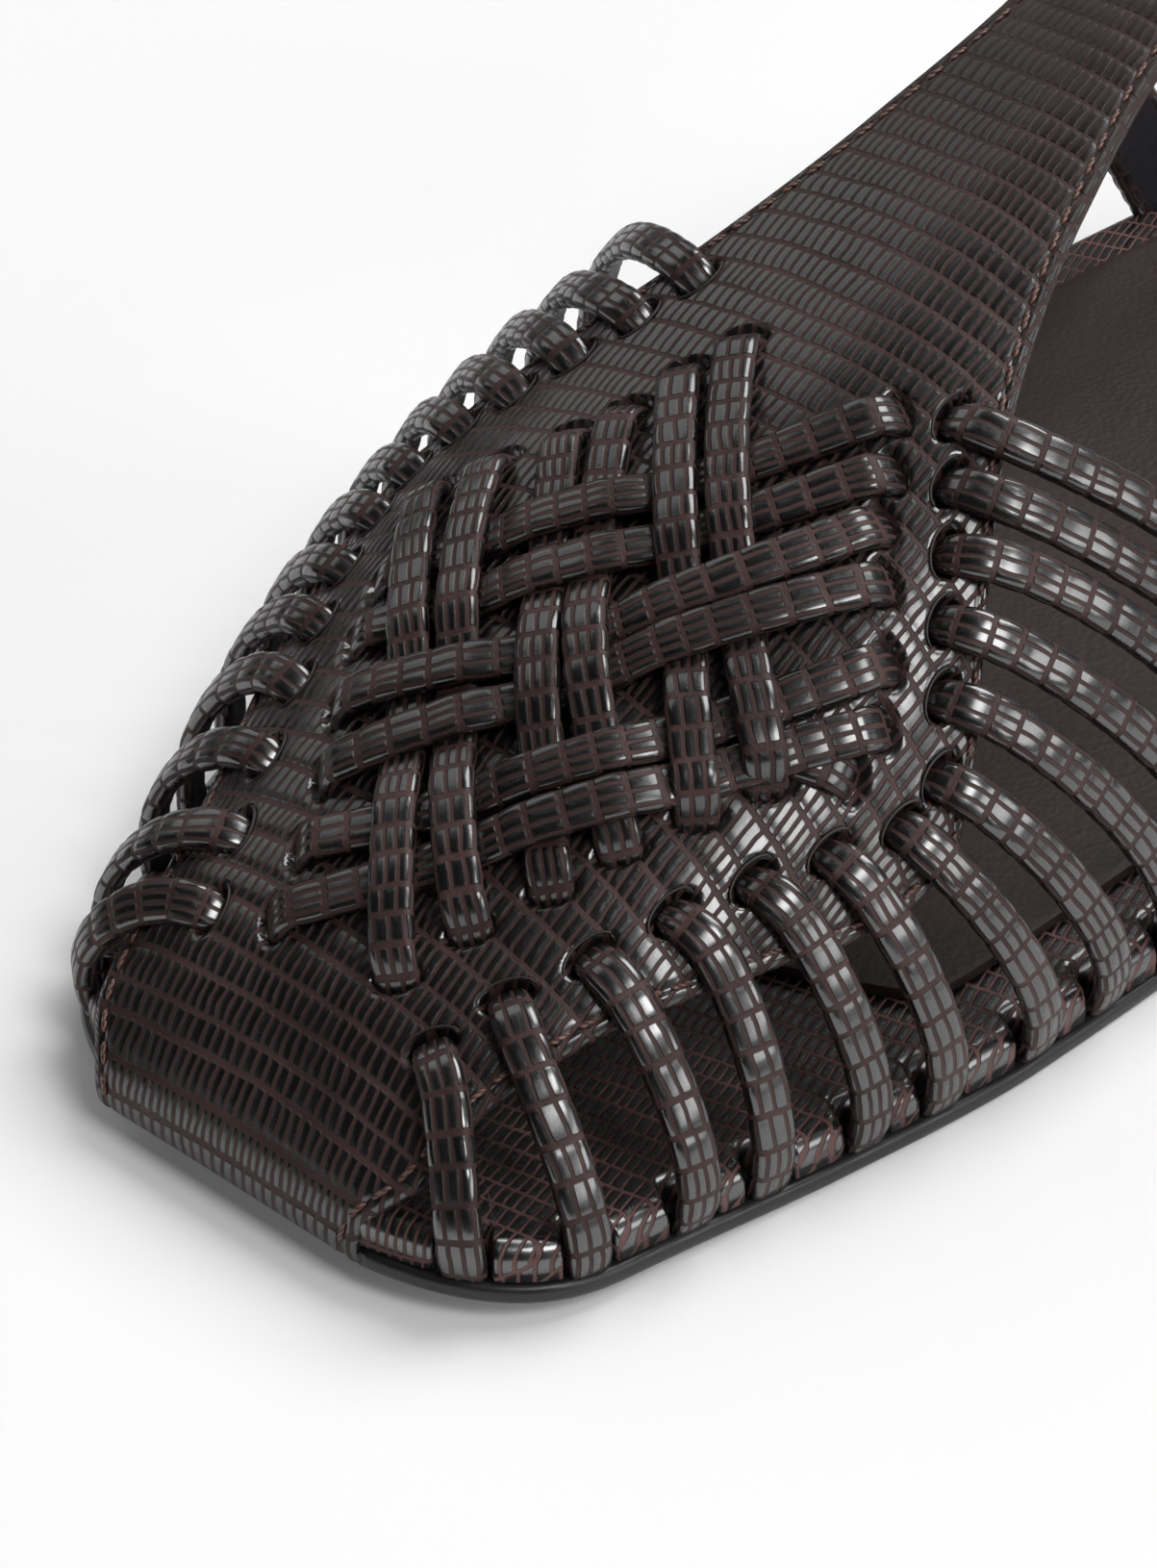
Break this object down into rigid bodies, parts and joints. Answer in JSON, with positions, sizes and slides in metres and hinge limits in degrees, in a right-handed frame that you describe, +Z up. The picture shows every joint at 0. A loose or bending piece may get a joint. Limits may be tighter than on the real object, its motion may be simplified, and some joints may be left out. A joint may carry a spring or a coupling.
{
  "type": "caged sandal",
  "caption": "Flat sandal for the right foot with a woven leather vamp, side loops, a T-bar, an ankle strap with a run around the heel, and a thin low-heeled sole.",
  "frame": {"origin": "on the floor under the middle of the sandal's box", "axes": "+Z up, +Y from toe to heel, +X to the inner (big toe) side"},
  "size_m": [0.0856, 0.25, 0.0783],
  "materials": {
    "outsole": "satin black sole rubber",
    "insole_leather": "glossy embossed leather",
    "sock_leather": "smooth matt leather",
    "upper_leather": "glossy embossed leather",
    "strap_leather": "glossy embossed leather"
  },
  "bodies": {
    "root": {"outsole": "outsole", "insole": "insole_leather", "sock_lining": "sock_leather", "upper": "upper_leather", "ankle_strap": "strap_leather"}
  },
  "joints": []
}
